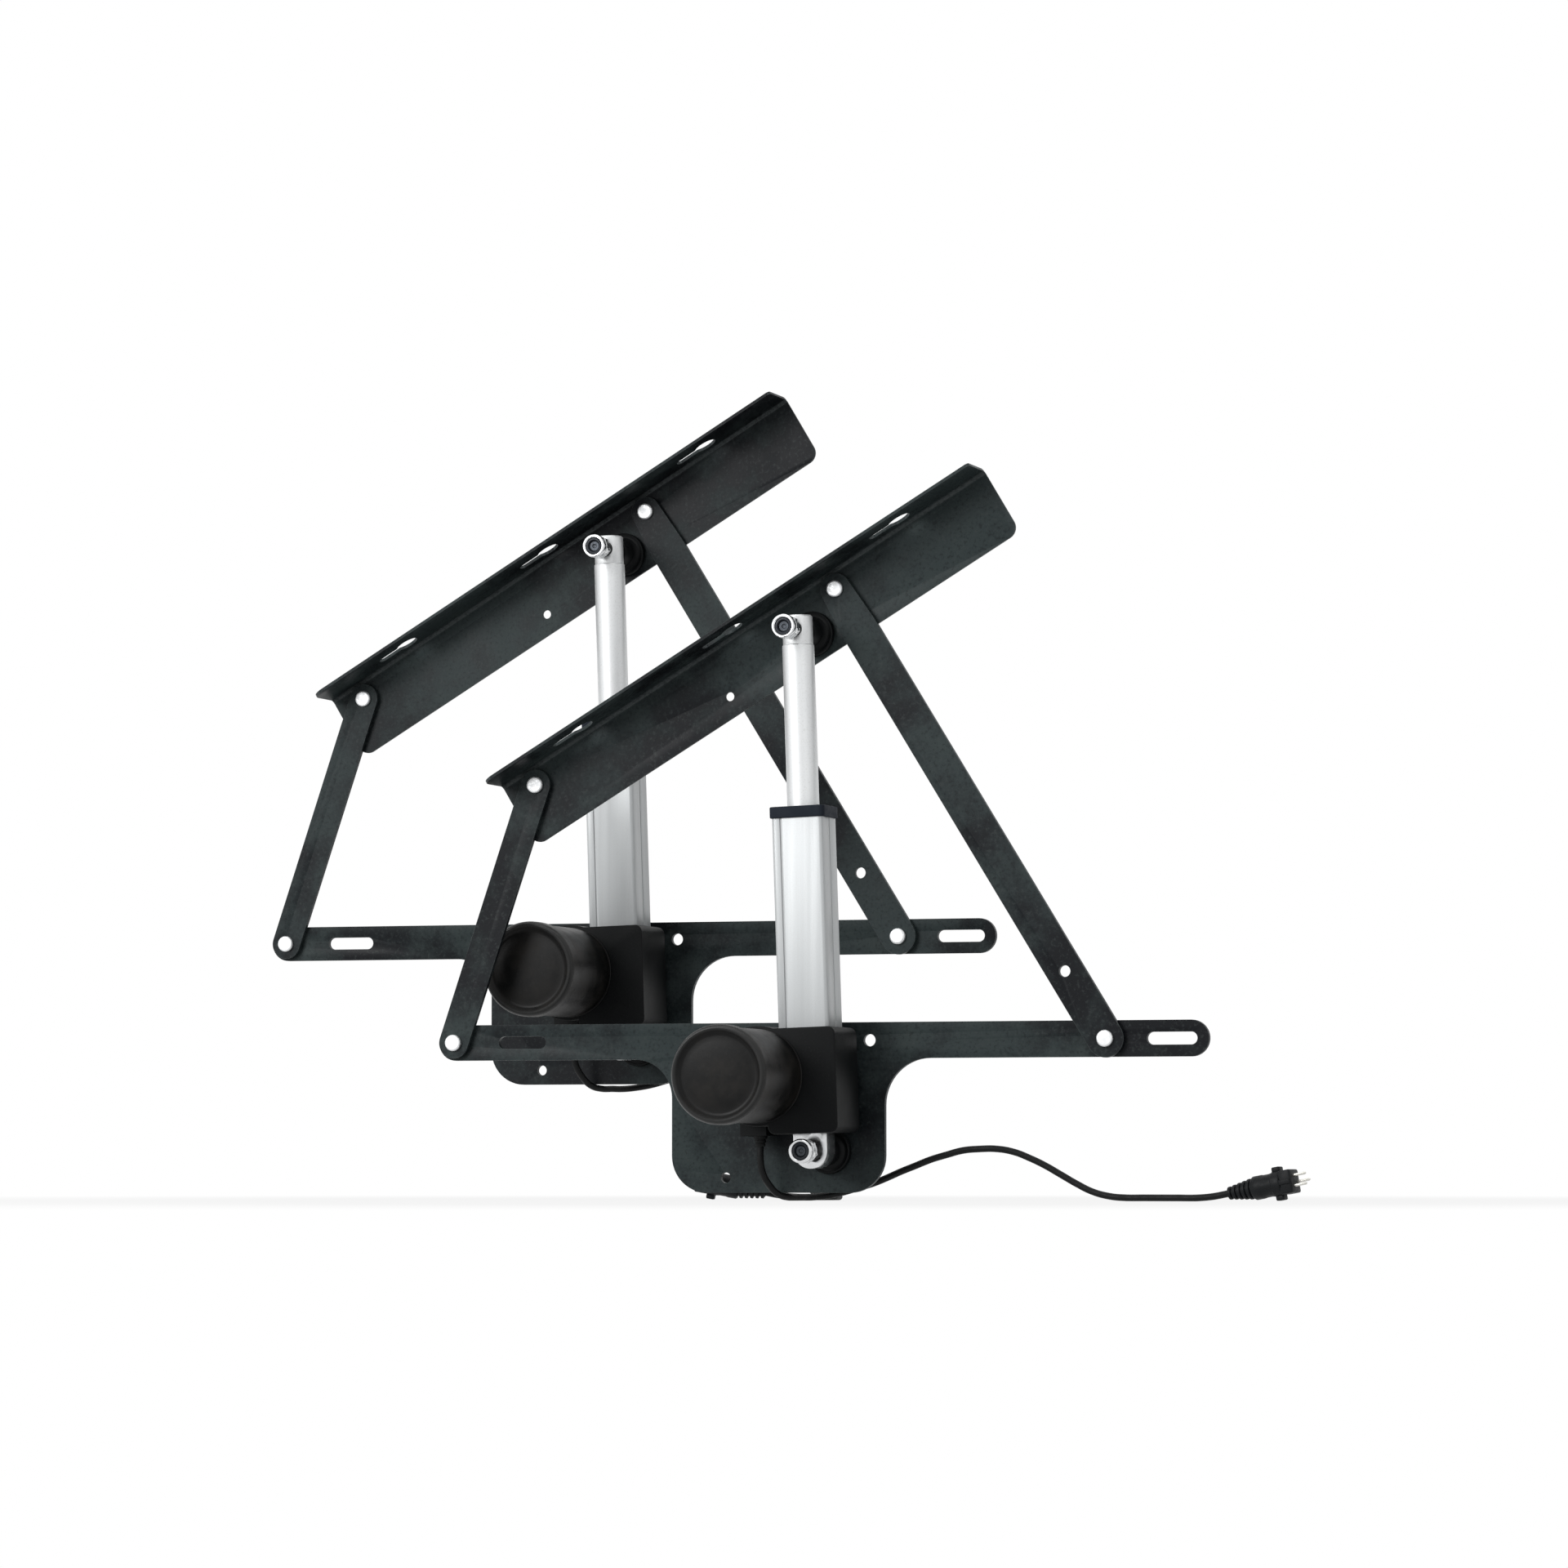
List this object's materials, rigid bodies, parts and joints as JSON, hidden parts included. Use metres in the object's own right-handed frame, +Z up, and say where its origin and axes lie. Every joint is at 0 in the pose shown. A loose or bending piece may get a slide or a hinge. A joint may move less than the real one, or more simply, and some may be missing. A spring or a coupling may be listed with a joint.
{
  "type": "bed lift mechanism",
  "caption": "Pair of black steel bed platform lifts: slotted base bars, two arms and keyholed angle rails raised by electric linear actuators.",
  "frame": {"origin": "midway between the front base plate's two slots, on the plate's back face", "axes": "+X along the base bar to the right, -Y out of the plate towards the viewer, +Z up"},
  "size_m": [0.7974, 0.3332, 0.5592],
  "materials": {
    "black_paint": "satin powder coat",
    "black_plastic": "satin moulded",
    "anodised": "satin anodised",
    "bright_steel": "bright plated",
    "zinc": "zinc plated",
    "rubber": "matte",
    "bronze": "machined",
    "nylon": "moulded"
  },
  "bodies": {
    "base": {"front_base_plate": "black_paint", "rear_base_plate": "black_paint", "base_pivot_rivets": "zinc", "lower_pivot_bolts": "bright_steel", "lower_lock_nuts": "bright_steel", "lower_pivot_bosses": "black_plastic", "front_lead": "rubber", "front_lead_plug": "black_plastic", "rear_lead": "rubber", "rear_lead_plug": "black_plastic"},
    "front_long_arm": {"front_long_arm": "black_paint"},
    "front_lift_rail": {"front_lift_rail": "black_paint", "front_rail_pins": "zinc", "front_rail_boss": "black_plastic"},
    "front_short_arm": {"front_short_arm": "black_paint", "front_short_arm_rivet": "zinc"},
    "front_actuator": {"front_gearbox_housing": "black_plastic", "front_gearbox_cover": "black_plastic", "front_motor_can": "black_plastic", "front_motor_cap": "black_plastic", "front_outer_tube": "anodised", "front_tube_collar": "rubber", "front_lower_lug": "bright_steel", "front_motor_worm": "bright_steel", "front_screw_bearing": "bright_steel", "front_cable_gland": "rubber", "front_lead_drop": "rubber"},
    "front_screw": {"front_worm_wheel": "nylon", "front_lead_screw": "bright_steel"},
    "front_rod": {"front_drive_nut": "bronze", "front_lift_rod": "anodised", "front_rod_head": "bright_steel", "front_upper_bolt": "bright_steel", "front_upper_sleeve": "black_plastic", "front_upper_lock_nut": "bright_steel"},
    "rear_long_arm": {"rear_long_arm": "black_paint"},
    "rear_lift_rail": {"rear_lift_rail": "black_paint", "rear_rail_pins": "zinc", "rear_rail_boss": "black_plastic"},
    "rear_short_arm": {"rear_short_arm": "black_paint", "rear_short_arm_rivet": "zinc"},
    "rear_actuator": {"rear_gearbox_housing": "black_plastic", "rear_gearbox_cover": "black_plastic", "rear_motor_can": "black_plastic", "rear_motor_cap": "black_plastic", "rear_outer_tube": "anodised", "rear_tube_collar": "rubber", "rear_lower_lug": "bright_steel", "rear_motor_worm": "bright_steel", "rear_screw_bearing": "bright_steel", "rear_cable_gland": "rubber", "rear_lead_drop": "rubber"},
    "rear_screw": {"rear_worm_wheel": "nylon", "rear_lead_screw": "bright_steel"},
    "rear_rod": {"rear_drive_nut": "bronze", "rear_lift_rod": "anodised", "rear_rod_head": "bright_steel", "rear_upper_bolt": "bright_steel", "rear_upper_sleeve": "black_plastic", "rear_upper_lock_nut": "bright_steel"}
  },
  "joints": [
    {"name": "front_lift", "type": "hinge", "parent": "base", "child": "front_long_arm", "pos_m": [0.182, 0, 0], "axis": [0, -1, 0], "range_deg": [0, 34.32]},
    {"name": "front_rail_tilt", "type": "hinge", "parent": "front_long_arm", "child": "front_lift_rail", "pos_m": [-0.00297, 0, 0.30066], "axis": [0, -1, 0], "range_deg": [-65.15, 0]},
    {"name": "front_short_arm_swing", "type": "hinge", "parent": "front_lift_rail", "child": "front_short_arm", "pos_m": [-0.21547, 0, 0.17392], "axis": [0, -1, 0], "range_deg": [0, 87.72]},
    {"name": "front_actuator_swing", "type": "hinge", "parent": "base", "child": "front_actuator", "pos_m": [-0.008, 0, -0.0735], "axis": [0, -1, 0], "range_deg": [0, 36.98], "deforming": ["front_lead_drop"]},
    {"name": "front_screw_spin", "type": "hinge", "parent": "front_actuator", "child": "front_screw", "pos_m": [-0.008, -0.038, -0.0735], "axis": [-0.0334, 0, 0.9994], "continuous": true},
    {"name": "front_rod_travel", "type": "slide", "parent": "front_actuator", "child": "front_rod", "axis": [0.0334, 0, -0.9994], "range_m": [0, 0.08712]},
    {"name": "rear_lift", "type": "hinge", "parent": "base", "child": "rear_long_arm", "pos_m": [-0.008, 0.16, 0.075], "axis": [0, -1, 0], "range_deg": [0, 34.32]},
    {"name": "rear_rail_tilt", "type": "hinge", "parent": "rear_long_arm", "child": "rear_lift_rail", "pos_m": [-0.19297, 0.16, 0.37566], "axis": [0, -1, 0], "range_deg": [-65.15, 0]},
    {"name": "rear_short_arm_swing", "type": "hinge", "parent": "rear_lift_rail", "child": "rear_short_arm", "pos_m": [-0.40547, 0.16, 0.24892], "axis": [0, -1, 0], "range_deg": [0, 87.72]},
    {"name": "rear_actuator_swing", "type": "hinge", "parent": "base", "child": "rear_actuator", "pos_m": [-0.198, 0.16, 0.0015], "axis": [0, -1, 0], "range_deg": [0, 36.98], "deforming": ["rear_lead_drop"]},
    {"name": "rear_screw_spin", "type": "hinge", "parent": "rear_actuator", "child": "rear_screw", "pos_m": [-0.198, 0.122, 0.0015], "axis": [-0.0334, 0, 0.9994], "continuous": true},
    {"name": "rear_rod_travel", "type": "slide", "parent": "rear_actuator", "child": "rear_rod", "axis": [0.0334, 0, -0.9994], "range_m": [0, 0.08712]}
  ],
  "couplings": [
    {"joint": "front_rail_tilt", "follows": "front_lift", "ratio": -1.8978},
    {"joint": "front_short_arm_swing", "follows": "front_lift", "ratio": 2.5554},
    {"joint": "front_actuator_swing", "follows": "front_lift", "ratio": 1.0771},
    {"joint": "front_screw_spin", "follows": "front_lift", "ratio": 304.56},
    {"joint": "front_rod_travel", "follows": "front_lift", "m_per_rad": 0.14541},
    {"joint": "rear_rail_tilt", "follows": "rear_lift", "ratio": -1.8978},
    {"joint": "rear_short_arm_swing", "follows": "rear_lift", "ratio": 2.5554},
    {"joint": "rear_actuator_swing", "follows": "rear_lift", "ratio": 1.0771},
    {"joint": "rear_screw_spin", "follows": "rear_lift", "ratio": 304.56},
    {"joint": "rear_rod_travel", "follows": "rear_lift", "m_per_rad": 0.14541}
  ]
}
